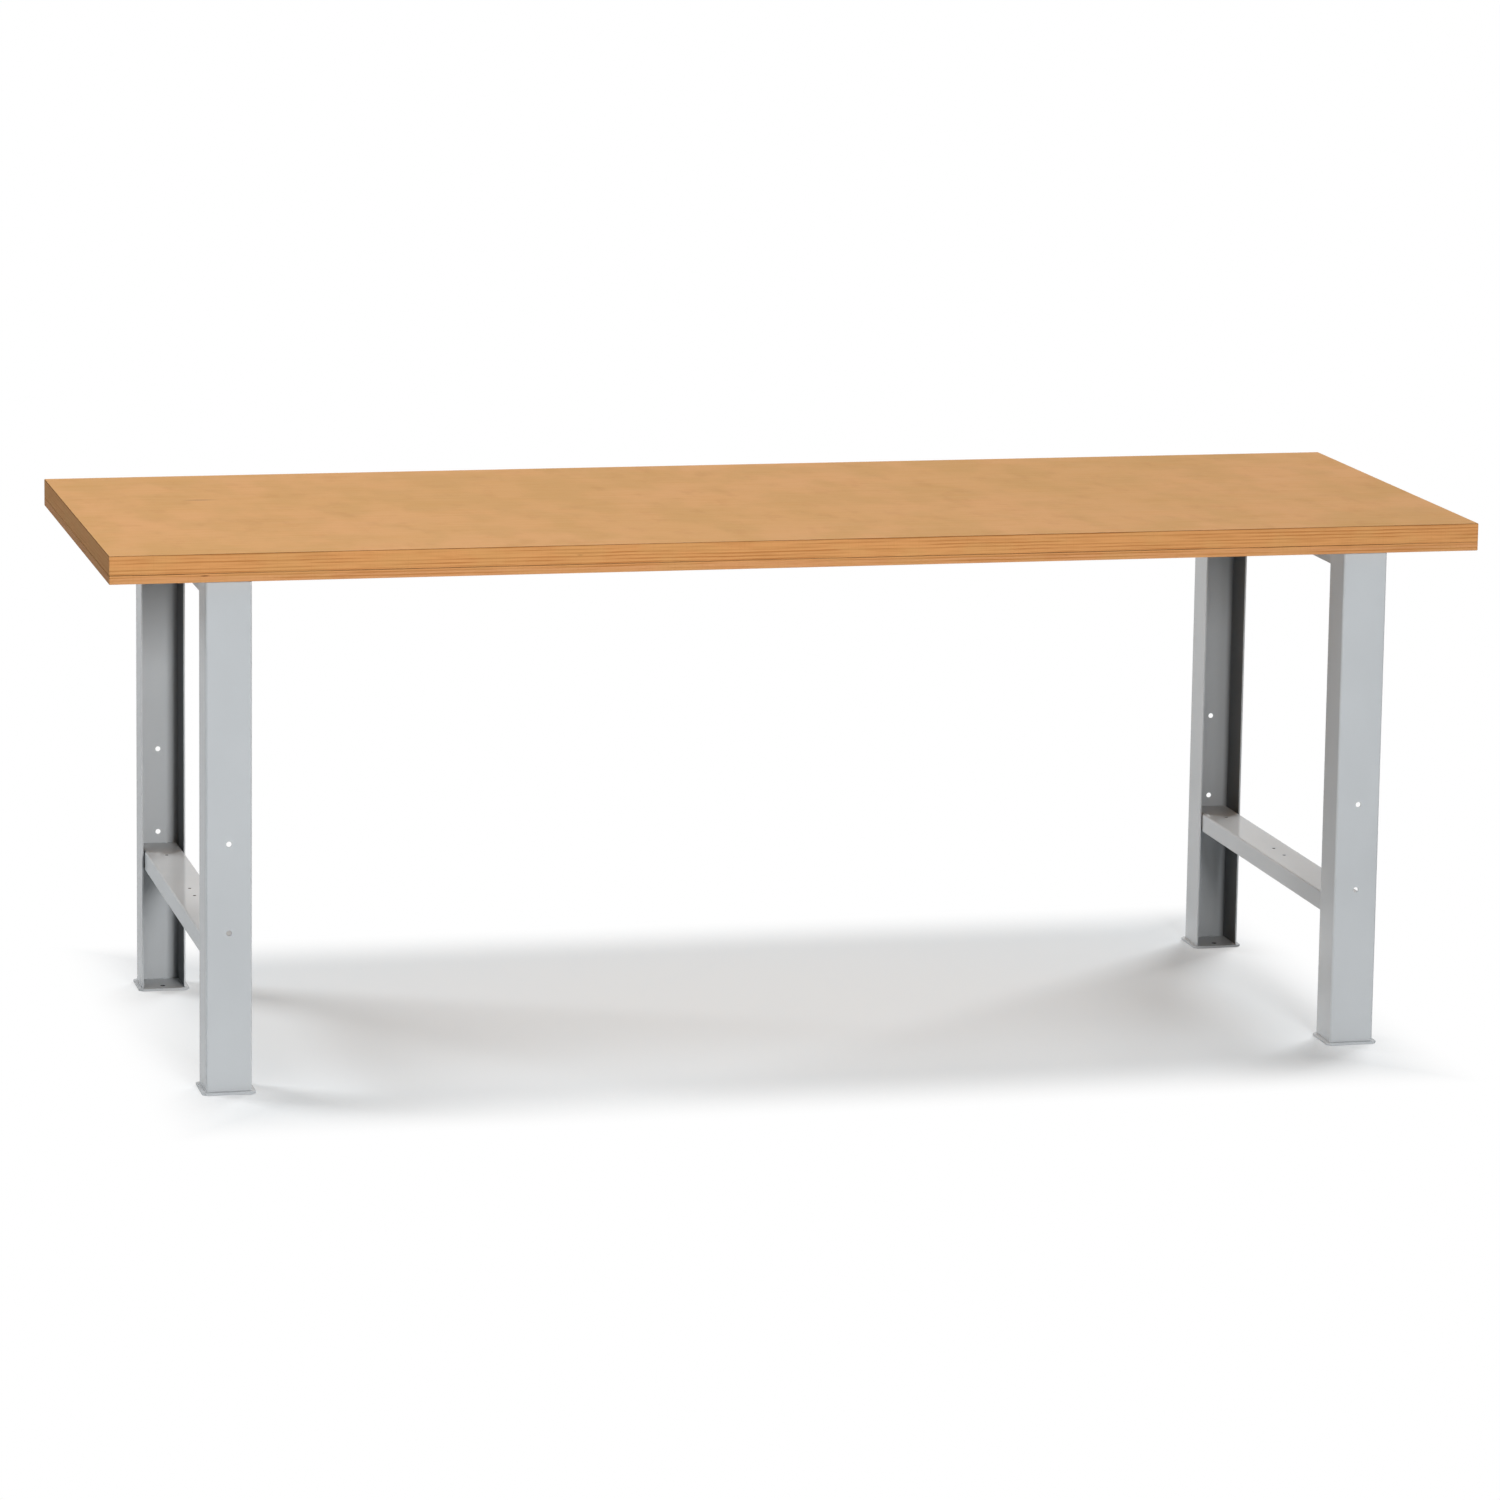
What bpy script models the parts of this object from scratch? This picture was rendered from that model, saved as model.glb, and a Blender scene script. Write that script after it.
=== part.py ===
"""A workbench: a glued plywood worktop on two welded leg frames of folded sheet steel.

Lengths are in metres. +X runs along the bench, +Y towards its rear and +Z up.
The origin lies on the floor, under the middle of the worktop.
"""

import math

import bmesh
import bpy
from mathutils import Matrix

# Worktop, of two plywood boards glued face to face
WORKTOP_LENGTH = 2.200
WORKTOP_DEPTH = 0.800
WORKTOP_HEIGHT = 0.850
UPPER_BOARD_THICKNESS = 0.030
LOWER_BOARD_THICKNESS = 0.014
BOARD_ARRIS = 0.0012

# Leg frames
FRAME_INSET = 0.185
FRONT_OVERHANG = 0.010
REAR_OVERHANG = 0.010

# Posts, channels folded from sheet, open towards the middle of the frame
POST_WIDTH = 0.072
POST_FLANGE = 0.068
POST_SHEET = 0.0025
POST_BEND_RADIUS = 0.004
POST_HOLE_DIAMETER = 0.0085
POST_LOWER_HOLE_HEIGHT = 0.255
POST_UPPER_HOLE_HEIGHT = 0.395

# Rails, channels laid open side down between the post flanges
RAIL_FLANGE = 0.030
RAIL_SHEET = 0.002
RAIL_BEND_RADIUS = 0.003
RAIL_SIDE_GAP = 0.002
RAIL_CORNER_RADIUS = 0.010
LOWER_RAIL_TOP = 0.236
LOWER_RAIL_HOLE_DIAMETER = 0.0055
LOWER_RAIL_END_HOLE_DISTANCE = 0.100
LOWER_RAIL_MIDDLE_HOLE_PITCH = 0.055

# Foot plates, welded under the posts
FOOT_PLATE_THICKNESS = 0.004
FOOT_PLATE_MARGIN = 0.006
FOOT_PLATE_CHAMFER = 0.006
ANCHOR_HOLE_DIAMETER = 0.008
ANCHOR_HOLE_EDGE_DISTANCE = 0.020

# Screws and washers that hold the worktop to the upper rails
SCREWS_PER_RAIL = 4
SCREW_END_DISTANCE = 0.140
SCREW_DIAMETER = 0.006
SCREW_GRIP = 0.030
SCREW_TIP_LENGTH = 0.006
SCREW_HEAD_FLATS = 0.010
SCREW_HEAD_HEIGHT = 0.004
WASHER_DIAMETER = 0.018
WASHER_THICKNESS = 0.0016

# Gap left between pieces that touch
FIT_GAP = 0.0003

# Facets
BEND_SEGMENTS = 4
HOLE_SEGMENTS = 24
SCREW_SEGMENTS = 16
ARRIS_SEGMENTS = 2

# How far a cutter runs past the faces that it cuts, and how near points are merged
CUTTER_OVERRUN = 0.002
MERGE_DISTANCE = 1e-6

# Sizes that follow from the ones above
WORKTOP_THICKNESS = UPPER_BOARD_THICKNESS + LOWER_BOARD_THICKNESS
WORKTOP_UNDERSIDE = WORKTOP_HEIGHT - WORKTOP_THICKNESS
FRAME_FRONT = -WORKTOP_DEPTH / 2 + FRONT_OVERHANG
FRAME_REAR = WORKTOP_DEPTH / 2 - REAR_OVERHANG
FRAME_X = WORKTOP_LENGTH / 2 - FRAME_INSET
POST_BOTTOM = FOOT_PLATE_THICKNESS + FIT_GAP
POST_TOP = WORKTOP_UNDERSIDE - FIT_GAP
POST_HOLE_HEIGHTS = (POST_LOWER_HOLE_HEIGHT, POST_UPPER_HOLE_HEIGHT)
RAIL_WIDTH = POST_WIDTH - 2 * (POST_SHEET + RAIL_SIDE_GAP)
RAIL_FRONT = FRAME_FRONT + POST_SHEET + FIT_GAP
RAIL_REAR = FRAME_REAR - POST_SHEET - FIT_GAP
RAIL_LENGTH = RAIL_REAR - RAIL_FRONT
UPPER_RAIL_TOP = WORKTOP_UNDERSIDE - FIT_GAP
FOOT_PLATE_WIDTH = POST_WIDTH + 2 * FOOT_PLATE_MARGIN
FOOT_PLATE_DEPTH = POST_FLANGE + 2 * FOOT_PLATE_MARGIN
WASHER_TOP = UPPER_RAIL_TOP - RAIL_SHEET - FIT_GAP
SCREW_SEAT = WASHER_TOP - WASHER_THICKNESS - FIT_GAP
SCREW_TIP = WORKTOP_UNDERSIDE + SCREW_GRIP
SCREW_HOLE_RADIUS = SCREW_DIAMETER / 2 + FIT_GAP

# Turn that lays an upright bar along +Y, square to a channel's web
UPRIGHT_TO_WEB = Matrix.Rotation(-math.pi / 2, 3, "X")

# Colours, roughness and metallic values of the finishes
PLYWOOD = ((0.66, 0.38, 0.17), 0.55, 0.0)
POWDER_COAT = ((0.50, 0.53, 0.55), 0.38, 0.0)
ZINC = ((0.62, 0.62, 0.60), 0.35, 1.0)


def clear_scene():
    """Remove every object that the file opened with."""
    for old in list(bpy.data.objects):
        bpy.data.objects.remove(old, do_unlink=True)


def make_material(name, finish):
    """Return a Principled material of one finish."""
    colour, roughness, metallic = finish
    material = bpy.data.materials.new(name)
    material.use_nodes = True
    shader = material.node_tree.nodes["Principled BSDF"]
    shader.inputs["Base Color"].default_value = (*colour, 1.0)
    shader.inputs["Roughness"].default_value = roughness
    shader.inputs["Metallic"].default_value = metallic
    material.diffuse_color = (*colour, 1.0)
    return material


def add_object(name, shape, parent=None):
    """Turn a bmesh into a named object, under its parent where it has one."""
    bmesh.ops.recalc_face_normals(shape, faces=shape.faces)
    mesh = bpy.data.meshes.new(name)
    shape.to_mesh(mesh)
    shape.free()
    piece = bpy.data.objects.new(name, mesh)
    bpy.context.scene.collection.objects.link(piece)
    piece.parent = parent
    return piece


def add_piece(name, shape, finish, parent=None):
    """Add an object that is one piece of the bench, with its own material."""
    piece = add_object(name, shape, parent)
    piece.data.materials.append(make_material(name, finish))
    return piece


def apply_cutter(piece, cutter, operation="DIFFERENCE"):
    """Hide a helper shape and join it to its piece, or cut it out."""
    cutter.hide_render = True
    cutter.display_type = "WIRE"
    boolean = piece.modifiers.new(cutter.name, "BOOLEAN")
    boolean.operation = operation
    boolean.solver = "EXACT"
    boolean.object = cutter


def shade_round(piece):
    """Shade the round faces of a piece smooth and keep its edges sharp."""
    piece.data.shade_smooth()
    piece.data.set_sharp_from_angle(angle=math.radians(40))


def arc(centre, radius, start, end, segments=BEND_SEGMENTS):
    """Return points along an arc between two angles in degrees."""
    points = []
    for step in range(segments + 1):
        angle = math.radians(start + (end - start) * step / segments)
        points.append((centre[0] + radius * math.cos(angle), centre[1] + radius * math.sin(angle)))
    return points


def channel_outline(width, flange, sheet, bend_radius):
    """Return a channel section: the web's outer face on Y = 0, the flanges towards +Y."""
    half = width / 2
    inner_radius = bend_radius - sheet
    bend_x = half - bend_radius
    right = arc((bend_x, bend_radius), bend_radius, -90, 0)
    right += [(half, flange), (half - sheet, flange)]
    right += arc((bend_x, bend_radius), inner_radius, 0, -90)
    left = [(-x, y) for x, y in reversed(right)]
    return right + left


def prism(outline, length):
    """Extrude a flat outline along +Z."""
    shape = bmesh.new()
    corners = [shape.verts.new((x, y, 0.0)) for x, y in outline]
    base = shape.faces.new(corners)
    grown = bmesh.ops.extrude_face_region(shape, geom=[base])
    top = [item for item in grown["geom"] if isinstance(item, bmesh.types.BMVert)]
    bmesh.ops.translate(shape, verts=top, vec=(0.0, 0.0, length))
    return shape


def turned(profile, segments):
    """Turn a profile of (radius, height) points, whose ends lie on the axis, about Z."""
    shape = bmesh.new()
    verts = [shape.verts.new((radius, 0.0, height)) for radius, height in profile]
    edges = [shape.edges.new(pair) for pair in zip(verts, verts[1:])]
    bmesh.ops.spin(shape, geom=verts + edges, cent=(0, 0, 0), axis=(0, 0, 1),
                   angle=math.tau, steps=segments, use_merge=True)
    bmesh.ops.remove_doubles(shape, verts=shape.verts, dist=MERGE_DISTANCE)
    return shape


def rod(radius, bottom, top, segments=HOLE_SEGMENTS):
    """Return an upright round bar."""
    return turned([(0.0, top), (radius, top), (radius, bottom), (0.0, bottom)], segments)


def drill_web(channel, positions, diameter, sheet):
    """Drill round holes through a channel's web, at places along its length."""
    holes = bmesh.new()
    for place in positions:
        hole = rod(diameter / 2, -CUTTER_OVERRUN, sheet + CUTTER_OVERRUN)
        bmesh.ops.rotate(hole, verts=hole.verts, cent=(0, 0, 0), matrix=UPRIGHT_TO_WEB)
        bmesh.ops.translate(hole, verts=hole.verts, vec=(0.0, 0.0, place))
        append_shape(holes, hole)
    apply_cutter(channel, add_object(channel.name + "_holes", holes, channel))


def append_shape(target, source):
    """Copy one bmesh into another, as a separate body."""
    mesh = bpy.data.meshes.new("spare")
    source.to_mesh(mesh)
    source.free()
    target.from_mesh(mesh)
    bpy.data.meshes.remove(mesh)


def make_board(name, bottom, thickness, arris_at_top, hole_places, hole_top):
    """Make a plywood board with eased outer edges and the bores of the worktop screws."""
    half_length = WORKTOP_LENGTH / 2
    half_depth = WORKTOP_DEPTH / 2
    outline = [(-half_length, -half_depth), (half_length, -half_depth),
               (half_length, half_depth), (-half_length, half_depth)]
    shape = prism(outline, thickness)
    eased_height = thickness if arris_at_top else 0.0
    eased = [edge for edge in shape.edges
             if all(abs(vert.co.z - eased_height) < FIT_GAP for vert in edge.verts)]
    bmesh.ops.bevel(shape, geom=eased, offset=BOARD_ARRIS, segments=ARRIS_SEGMENTS,
                    profile=0.5, affect="EDGES")
    board = add_piece(name, shape, PLYWOOD)
    board.location.z = bottom
    bores = bmesh.new()
    for x, y in hole_places:
        bore = rod(SCREW_HOLE_RADIUS, -CUTTER_OVERRUN, hole_top - bottom)
        bmesh.ops.translate(bore, verts=bore.verts, vec=(x, y, 0.0))
        append_shape(bores, bore)
    apply_cutter(board, add_object(name + "_bores", bores, board))
    return board


def make_worktop(hole_places):
    """Make the two boards of the worktop, parted by their glue line."""
    lower_top = WORKTOP_UNDERSIDE + LOWER_BOARD_THICKNESS - FIT_GAP
    make_board("worktop_lower_board", WORKTOP_UNDERSIDE, LOWER_BOARD_THICKNESS - FIT_GAP,
               False, hole_places, lower_top + CUTTER_OVERRUN)
    make_board("worktop_upper_board", WORKTOP_UNDERSIDE + LOWER_BOARD_THICKNESS,
               UPPER_BOARD_THICKNESS, True, hole_places, SCREW_TIP + FIT_GAP)


def make_post(name, frame, face_y, turn):
    """Make one post: an upright channel whose web faces out of the frame."""
    outline = channel_outline(POST_WIDTH, POST_FLANGE, POST_SHEET, POST_BEND_RADIUS)
    post = add_piece(name, prism(outline, POST_TOP - POST_BOTTOM), POWDER_COAT, frame)
    shade_round(post)
    post.location = (0.0, face_y, POST_BOTTOM)
    post.rotation_euler.z = turn
    heights = [height - POST_BOTTOM for height in POST_HOLE_HEIGHTS]
    drill_web(post, heights, POST_HOLE_DIAMETER, POST_SHEET)


def round_rail_corners(rail):
    """Round the corners of a rail's two ends, so that they clear the post bends."""
    half = RAIL_WIDTH / 2
    radius = RAIL_CORNER_RADIUS
    corners = bmesh.new()
    for side in (-1, 1):
        for end, inward in ((0.0, 1), (RAIL_LENGTH, -1)):
            edge_x = side * (half + CUTTER_OVERRUN)
            edge_z = end - inward * CUTTER_OVERRUN
            quarter = arc((0.0, 0.0), radius, 0, 90)
            outline = [(side * (half - radius + x), end + inward * (radius - z)) for x, z in quarter]
            outline += [(outline[-1][0], edge_z), (edge_x, edge_z), (edge_x, outline[0][1])]
            cutter = prism(outline, RAIL_FLANGE + 2 * CUTTER_OVERRUN)
            swing_plan_to_web(cutter)
            bmesh.ops.recalc_face_normals(cutter, faces=cutter.faces)
            append_shape(corners, cutter)
    apply_cutter(rail, add_object(rail.name + "_corners", corners, rail))


def swing_plan_to_web(cutter):
    """Turn a cutter drawn in plan so that it runs through a channel's flanges."""
    for vert in cutter.verts:
        x, along, depth = vert.co
        vert.co = (x, depth - CUTTER_OVERRUN, along)


def make_rail(name, frame, top, hole_places, hole_diameter):
    """Make one rail: a channel with its web on top, between the two posts of a frame."""
    outline = channel_outline(RAIL_WIDTH, RAIL_FLANGE, RAIL_SHEET, RAIL_BEND_RADIUS)
    rail = add_piece(name, prism(outline, RAIL_LENGTH), POWDER_COAT, frame)
    shade_round(rail)
    rail.location = (0.0, RAIL_FRONT, top)
    rail.rotation_euler.x = -math.pi / 2
    round_rail_corners(rail)
    drill_web(rail, [y - RAIL_FRONT for y in hole_places], hole_diameter, RAIL_SHEET)


def make_foot_plate(name, frame, face_y, inward):
    """Make one foot plate, with an anchor hole on the open side of its post."""
    half = FOOT_PLATE_WIDTH / 2
    cut = FOOT_PLATE_CHAMFER
    depth = FOOT_PLATE_DEPTH
    outline = [(cut - half, 0.0), (half - cut, 0.0), (half, cut), (half, depth - cut),
               (half - cut, depth), (cut - half, depth), (-half, depth - cut), (-half, cut)]
    plate = add_piece(name, prism(outline, FOOT_PLATE_THICKNESS), POWDER_COAT, frame)
    plate.location = (0.0, face_y - inward * FOOT_PLATE_MARGIN, 0.0)
    plate.rotation_euler.z = 0.0 if inward > 0 else math.pi
    hole = rod(ANCHOR_HOLE_DIAMETER / 2, -CUTTER_OVERRUN, FOOT_PLATE_THICKNESS + CUTTER_OVERRUN)
    bmesh.ops.translate(hole, verts=hole.verts, vec=(0.0, depth - ANCHOR_HOLE_EDGE_DISTANCE, 0.0))
    apply_cutter(plate, add_object(name + "_anchor_hole", hole, plate))


def screw_places():
    """Return where the worktop screws lie along a rail."""
    first = RAIL_FRONT + SCREW_END_DISTANCE
    last = RAIL_REAR - SCREW_END_DISTANCE
    pitch = (last - first) / (SCREWS_PER_RAIL - 1)
    return [first + pitch * index for index in range(SCREWS_PER_RAIL)]


def lower_rail_hole_places():
    """Return where the four small holes lie along a lower rail."""
    middle = (RAIL_FRONT + RAIL_REAR) / 2
    half_pitch = LOWER_RAIL_MIDDLE_HOLE_PITCH / 2
    return [RAIL_FRONT + LOWER_RAIL_END_HOLE_DISTANCE, middle - half_pitch,
            middle + half_pitch, RAIL_REAR - LOWER_RAIL_END_HOLE_DISTANCE]


def make_washer(name, frame, y):
    """Make one washer, under the web of an upper rail."""
    inner = SCREW_HOLE_RADIUS
    outer = WASHER_DIAMETER / 2
    section = ((inner, 0.0), (outer, 0.0), (outer, WASHER_THICKNESS), (inner, WASHER_THICKNESS))
    shape = bmesh.new()
    verts = [shape.verts.new((radius, 0.0, height)) for radius, height in section]
    edges = [shape.edges.new(pair) for pair in zip(verts, verts[1:] + verts[:1])]
    bmesh.ops.spin(shape, geom=verts + edges, cent=(0, 0, 0), axis=(0, 0, 1),
                   angle=math.tau, steps=HOLE_SEGMENTS, use_merge=True)
    bmesh.ops.remove_doubles(shape, verts=shape.verts, dist=MERGE_DISTANCE)
    washer = add_piece(name, shape, ZINC, frame)
    shade_round(washer)
    washer.location = (0.0, y, WASHER_TOP - WASHER_THICKNESS)


def make_screw(name, frame, y):
    """Make one hexagon wood screw, driven up through its washer and rail into the boards."""
    corner_radius = SCREW_HEAD_FLATS / math.sqrt(3)
    corners = [math.radians(60 * side) for side in range(6)]
    outline = [(corner_radius * math.cos(a), corner_radius * math.sin(a)) for a in corners]
    screw = add_piece(name, prism(outline, SCREW_HEAD_HEIGHT), ZINC, frame)
    screw.location = (0.0, y, SCREW_SEAT - SCREW_HEAD_HEIGHT)
    tip = SCREW_TIP - SCREW_SEAT + SCREW_HEAD_HEIGHT
    radius = SCREW_DIAMETER / 2
    rooted = SCREW_HEAD_HEIGHT / 2
    profile = [(0.0, tip), (radius, tip - SCREW_TIP_LENGTH), (radius, rooted), (0.0, rooted)]
    shank = add_object(name + "_shank", turned(profile, SCREW_SEGMENTS), screw)
    apply_cutter(screw, shank, "UNION")


def make_frame(side, x):
    """Make one leg frame, with the screws that hold the worktop to it."""
    frame = bpy.data.objects.new(side + "_leg_frame", None)
    bpy.context.scene.collection.objects.link(frame)
    frame.location.x = x
    make_post(side + "_front_post", frame, FRAME_FRONT, 0.0)
    make_post(side + "_rear_post", frame, FRAME_REAR, math.pi)
    make_rail(side + "_lower_rail", frame, LOWER_RAIL_TOP, lower_rail_hole_places(),
              LOWER_RAIL_HOLE_DIAMETER)
    make_rail(side + "_upper_rail", frame, UPPER_RAIL_TOP, screw_places(), 2 * SCREW_HOLE_RADIUS)
    make_foot_plate(side + "_front_foot_plate", frame, FRAME_FRONT, 1)
    make_foot_plate(side + "_rear_foot_plate", frame, FRAME_REAR, -1)
    for number, y in enumerate(screw_places(), start=1):
        make_washer(f"{side}_worktop_washer_{number}", frame, y)
        make_screw(f"{side}_worktop_screw_{number}", frame, y)


def main():
    """Build the bench."""
    clear_scene()
    frames = (("left", -FRAME_X), ("right", FRAME_X))
    make_worktop([(x, y) for _, x in frames for y in screw_places()])
    for side, x in frames:
        make_frame(side, x)


main()
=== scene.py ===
"""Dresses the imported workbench: plywood worktop, coated leg frames, zinc fasteners and a pale studio.

Lengths are in metres. +X runs along the bench, +Y towards its rear and +Z up.
"""

import math

import bmesh
import bpy
from bpy.props import FloatProperty, FloatVectorProperty, IntProperty, PointerProperty
from mathutils import Matrix, Vector


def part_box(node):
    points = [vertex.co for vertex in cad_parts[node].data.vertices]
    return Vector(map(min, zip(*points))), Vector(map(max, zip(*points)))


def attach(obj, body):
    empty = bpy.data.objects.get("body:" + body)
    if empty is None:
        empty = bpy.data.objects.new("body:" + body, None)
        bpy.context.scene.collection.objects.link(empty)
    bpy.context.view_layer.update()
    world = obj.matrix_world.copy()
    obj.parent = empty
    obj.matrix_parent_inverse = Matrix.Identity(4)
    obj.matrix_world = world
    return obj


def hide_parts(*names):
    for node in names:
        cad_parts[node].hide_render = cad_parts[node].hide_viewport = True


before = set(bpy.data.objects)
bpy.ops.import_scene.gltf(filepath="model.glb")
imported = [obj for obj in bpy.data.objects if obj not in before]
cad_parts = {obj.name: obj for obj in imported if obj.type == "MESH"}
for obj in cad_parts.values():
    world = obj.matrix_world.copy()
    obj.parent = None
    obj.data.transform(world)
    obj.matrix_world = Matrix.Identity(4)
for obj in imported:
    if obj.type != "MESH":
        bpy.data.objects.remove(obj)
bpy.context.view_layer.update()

bl_info = {
    "name": "Workbench Dresser",
    "version": (1, 0, 0),
    "blender": (4, 5, 0),
    "location": "View3D > Sidebar > Workbench",
    "description": "Models and finishes the pieces of a workbench around its packed frame",
    "category": "Object",
}

BODY = "root"
DRESSED = "_dressed"
SIDES = ("left", "right")
ENDS = ("front", "rear")
POSTS = [f"{side}_{end}_post" for side in SIDES for end in ENDS]
FOOT_PLATES = [f"{side}_{end}_foot_plate" for side in SIDES for end in ENDS]
SCREWS_PER_RAIL = 4
SCREWS = [f"{side}_worktop_screw_{n}" for side in SIDES for n in range(1, SCREWS_PER_RAIL + 1)]
WASHERS = [f"{side}_worktop_washer_{n}" for side in SIDES for n in range(1, SCREWS_PER_RAIL + 1)]

# How far a cutter runs past the faces that it cuts, and how near two places count as one
OVERRUN = 0.002
NEAR = 1e-5

# Angle over which an edge is a real edge, and the angle up to which faces shade as one
EDGE_ANGLE = math.radians(40)
SMOOTH_ANGLE = math.radians(50)

# Facets round a hole, a bore and a washer, and segments of folds, corners and eased edges
HOLE_FACETS = 40
BORE_FACETS = 24
WASHER_FACETS = 48
FOLD_SEGMENTS = 8
CORNER_SEGMENTS = 10
EASING_SEGMENTS = 3
SHEET_EASING_SEGMENTS = 2

# A face is square to an axis when its normal's part along that axis is more than this
ALONG_AXIS = 0.9

# The floor's distance below the feet, so that they share no plane, and how far the camera sees
FLOOR_DROP = 0.0005
VIEW_LIMIT = 200.0

WHITE = (1.0, 1.0, 1.0)

# Place, target and size of each light, whose power is the stage setting of the same name
LIGHTS = {
    "left_light": ((-1.6, -1.0, 4.0), (-0.5, 0.0, 0.0), (1.4, 1.4)),
    "front_light": ((0.61, -7.6, 2.6), (-4.2, 0.0, 0.45), (1.9, 1.4)),
    "right_rear_light": ((7.5, 9.0, 6.5), (0.0, 0.0, 0.45), (6.0, 5.0)),
    "left_rear_light": ((-8.7, 6.5, 5.5), (0.0, 0.0, 0.45), (5.0, 4.0)),
}


def length(name, default, description):
    """Return a length property."""
    return FloatProperty(name=name, description=description, default=default, min=0.0, precision=4,
                         subtype="DISTANCE", unit="LENGTH")


def share(name, default, description):
    """Return a property that runs from 0 to 1."""
    return FloatProperty(name=name, description=description, default=default, min=0.0, max=1.0,
                         subtype="FACTOR")


def colour(name, default, description):
    """Return a colour property, in linear light."""
    return FloatVectorProperty(name=name, description=description, default=default, size=3,
                               min=0.0, max=1.0, subtype="COLOR")


def power(name, default, description):
    """Return a property for the power of a light, in watts."""
    return FloatProperty(name=name, description=description, default=default, min=0.0)


def box_middle(node):
    """Return the middle of a node's box."""
    low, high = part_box(node)
    return (low + high) / 2


# Settings

class WorktopSettings(bpy.types.PropertyGroup):
    """Sizes and colours of the plywood worktop."""

    arris: length("Arris", 0.0012, "Radius of the eased outer edges")
    glue_groove: length("Glue groove", 0.0004, "Easing of the two boards beside their glue line")
    glue_line: length("Glue line", 0.0007, "Half width of the dark line between the two boards")
    corner: length("Corner", 0.0016, "Radius of the four upright corners, larger than the arris")
    ply: length("Ply", 0.0027, "Thickness of one veneer of the plywood")
    bore: length("Bore", 0.0033, "Radius of the bores for the worktop screws")
    face_colour: colour("Face", (0.625, 0.340, 0.138), "Main colour of the face veneer")
    face_rosy: colour("Rosy patch", (0.665, 0.352, 0.155), "Colour of the redder patches of the face")
    face_olive: colour("Olive patch", (0.545, 0.308, 0.112), "Colour of the duller patches of the face")
    ply_light: colour("Light ply", (0.590, 0.283, 0.104), "Colour of a ply cut along its grain")
    ply_dark: colour("Dark ply", (0.420, 0.175, 0.055), "Colour of a ply cut across its grain")
    ply_rosy: colour("Rosy ply", (0.574, 0.279, 0.126), "Colour of the redder plies of the lower board")
    glue_colour: colour("Glue", (0.130, 0.052, 0.018), "Colour of the glue lines and small knots")
    # Painted shade: this tint darkens the short edges, most in red, as where less light falls
    painted_end_shade: colour("Painted end shade", (0.56, 0.63, 0.80), "Tint that darkens the end grain of the short edges")
    end_contrast: share("End contrast", 0.4, "Contrast of the plies on the short edges")


class SteelSettings(bpy.types.PropertyGroup):
    """Sizes and finish of the folded and cut sheet steel."""

    post_sheet: length("Post sheet", 0.0025, "Thickness of the sheet of the posts")
    post_bend: length("Post bend", 0.004, "Outer radius of the folds of the posts")
    post_hole: length("Post hole", 0.00425, "Radius of the two holes in each post web")
    lower_hole: length("Lower hole", 0.255, "Height of the lower hole of each post")
    upper_hole: length("Upper hole", 0.395, "Height of the upper hole of each post")
    rail_sheet: length("Rail sheet", 0.002, "Thickness of the sheet of the rails")
    rail_bend: length("Rail bend", 0.003, "Outer radius of the folds of the rails")
    rail_corner: length("Rail corner", 0.010, "Radius of the rails' end corners")
    rail_hole: length("Rail hole", 0.00275, "Radius of the small holes in each lower rail")
    rail_end_hole: length("End hole", 0.100, "Distance of the outer small holes from the rail's ends")
    rail_hole_pitch: length("Hole pitch", 0.055, "Distance between the two middle holes of a lower rail")
    foot_chamfer: length("Foot chamfer", 0.006, "Clipped corners of the foot plates")
    anchor_hole: length("Anchor hole", 0.004, "Radius of the anchor hole in each foot plate")
    anchor_edge: length("Anchor edge", 0.020, "Distance of the anchor hole from the plate's open edge")
    bead: length("Weld bead", 0.0021, "Radius of the ripples of the small welds inside each foot")
    bead_spacing: length("Weld spacing", 0.025, "Distance between the two small welds of a foot")
    seam: length("Seam", 0.00005, "Gap between a post and its foot plate")
    edge: length("Sheet edge", 0.0004, "Radius of the sheet's cut edges under the coat")
    coat: colour("Coat", (0.470, 0.489, 0.503), "Colour of the powder coat")
    coat_roughness: share("Coat roughness", 0.09, "Roughness of the powder coat")
    sheet_sheen: share("Sheet sheen", 0.06, "Specular level of the coat on rails and foot plates")
    # Painted shade: a near-black colour for the walls of the small holes
    bare: colour("Bare steel", (0.040, 0.040, 0.042), "Colour of the steel inside the small holes")
    # Painted shade: inside the posts' folds the coat keeps only this share of its colour, fading out over
    # this distance from the fold
    painted_shade_share: share("Painted shade share", 0.4, "Share of its colour that the coat keeps inside the posts' folds")
    painted_shade_fade: length("Painted shade fade", 0.011, "Distance from the fold over which the coat is thin")


class FastenerSettings(bpy.types.PropertyGroup):
    """Sizes and finish of the worktop screws and washers."""

    shank: length("Shank", 0.003, "Radius of the screws' shanks")
    tip: length("Tip", 0.006, "Length of the screws' points")
    head: length("Head", 0.004, "Height of the hexagon heads")
    head_easing: length("Head easing", 0.0006, "Easing of the heads' lower edges")
    hole: length("Washer hole", 0.0033, "Radius of the holes of the washers and upper rails")
    washer_easing: length("Washer easing", 0.0003, "Radius of the washers' eased edges")
    zinc: colour("Zinc", (0.60, 0.61, 0.60), "Colour of the zinc plating")
    facets: IntProperty(name="Facets", description="Facets round a shank", default=32, min=8, max=128)


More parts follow.
